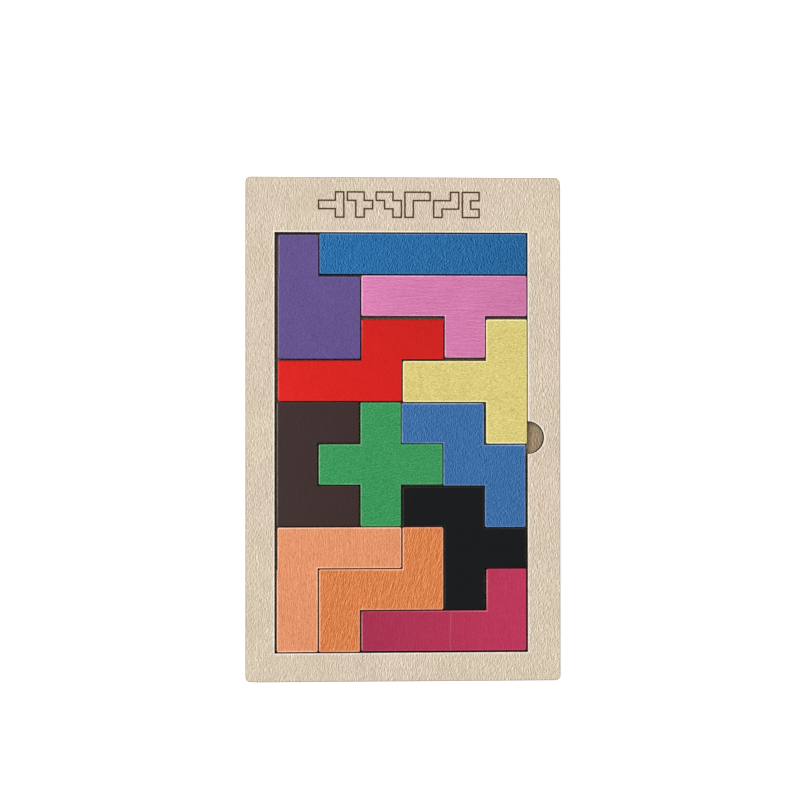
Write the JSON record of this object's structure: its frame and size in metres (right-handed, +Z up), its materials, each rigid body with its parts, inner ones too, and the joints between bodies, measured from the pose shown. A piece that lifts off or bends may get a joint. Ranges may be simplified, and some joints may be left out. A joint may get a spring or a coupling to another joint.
{
  "type": "pentomino puzzle",
  "caption": "Flat wooden packing puzzle: coloured five-cell pieces lying flush in a shallow rectangular tray with a half-round finger notch.",
  "frame": {"origin": "centre of the tray's underside", "axes": "+X across the well towards the rim with the finger notch, +Y along the well towards the wide rim with the engraved marks, +Z up out of the tray"},
  "size_m": [0.15, 0.24, 0.008],
  "materials": {
    "base_board": "plain plywood, lightly sanded",
    "frame_board": "pale plywood, lightly sanded, with charred laser-cut edges",
    "purple_p_piece": "matte purple stain over wood grain",
    "blue_i_piece": "matte blue stain over wood grain",
    "pink_y_piece": "matte pink stain over wood grain",
    "red_n_piece": "matte red paint over wood grain",
    "yellow_t_piece": "matte pale yellow paint over wood grain",
    "brown_u_piece": "matte dark brown stain over wood grain",
    "green_x_piece": "matte green stain over wood grain",
    "blue_w_piece": "matte mid blue stain over wood grain",
    "black_f_piece": "matte black paint",
    "peach_v_piece": "matte peach stain over wood grain",
    "orange_z_piece": "matte orange stain over wood grain",
    "crimson_l_piece": "matte crimson stain over wood grain"
  },
  "bodies": {
    "root": {"base_board": "base_board", "frame_board": "frame_board", "purple_p_piece": "purple_p_piece", "blue_i_piece": "blue_i_piece", "pink_y_piece": "pink_y_piece", "red_n_piece": "red_n_piece", "yellow_t_piece": "yellow_t_piece", "brown_u_piece": "brown_u_piece", "green_x_piece": "green_x_piece", "blue_w_piece": "blue_w_piece", "black_f_piece": "black_f_piece", "peach_v_piece": "peach_v_piece", "orange_z_piece": "orange_z_piece", "crimson_l_piece": "crimson_l_piece"}
  },
  "joints": []
}
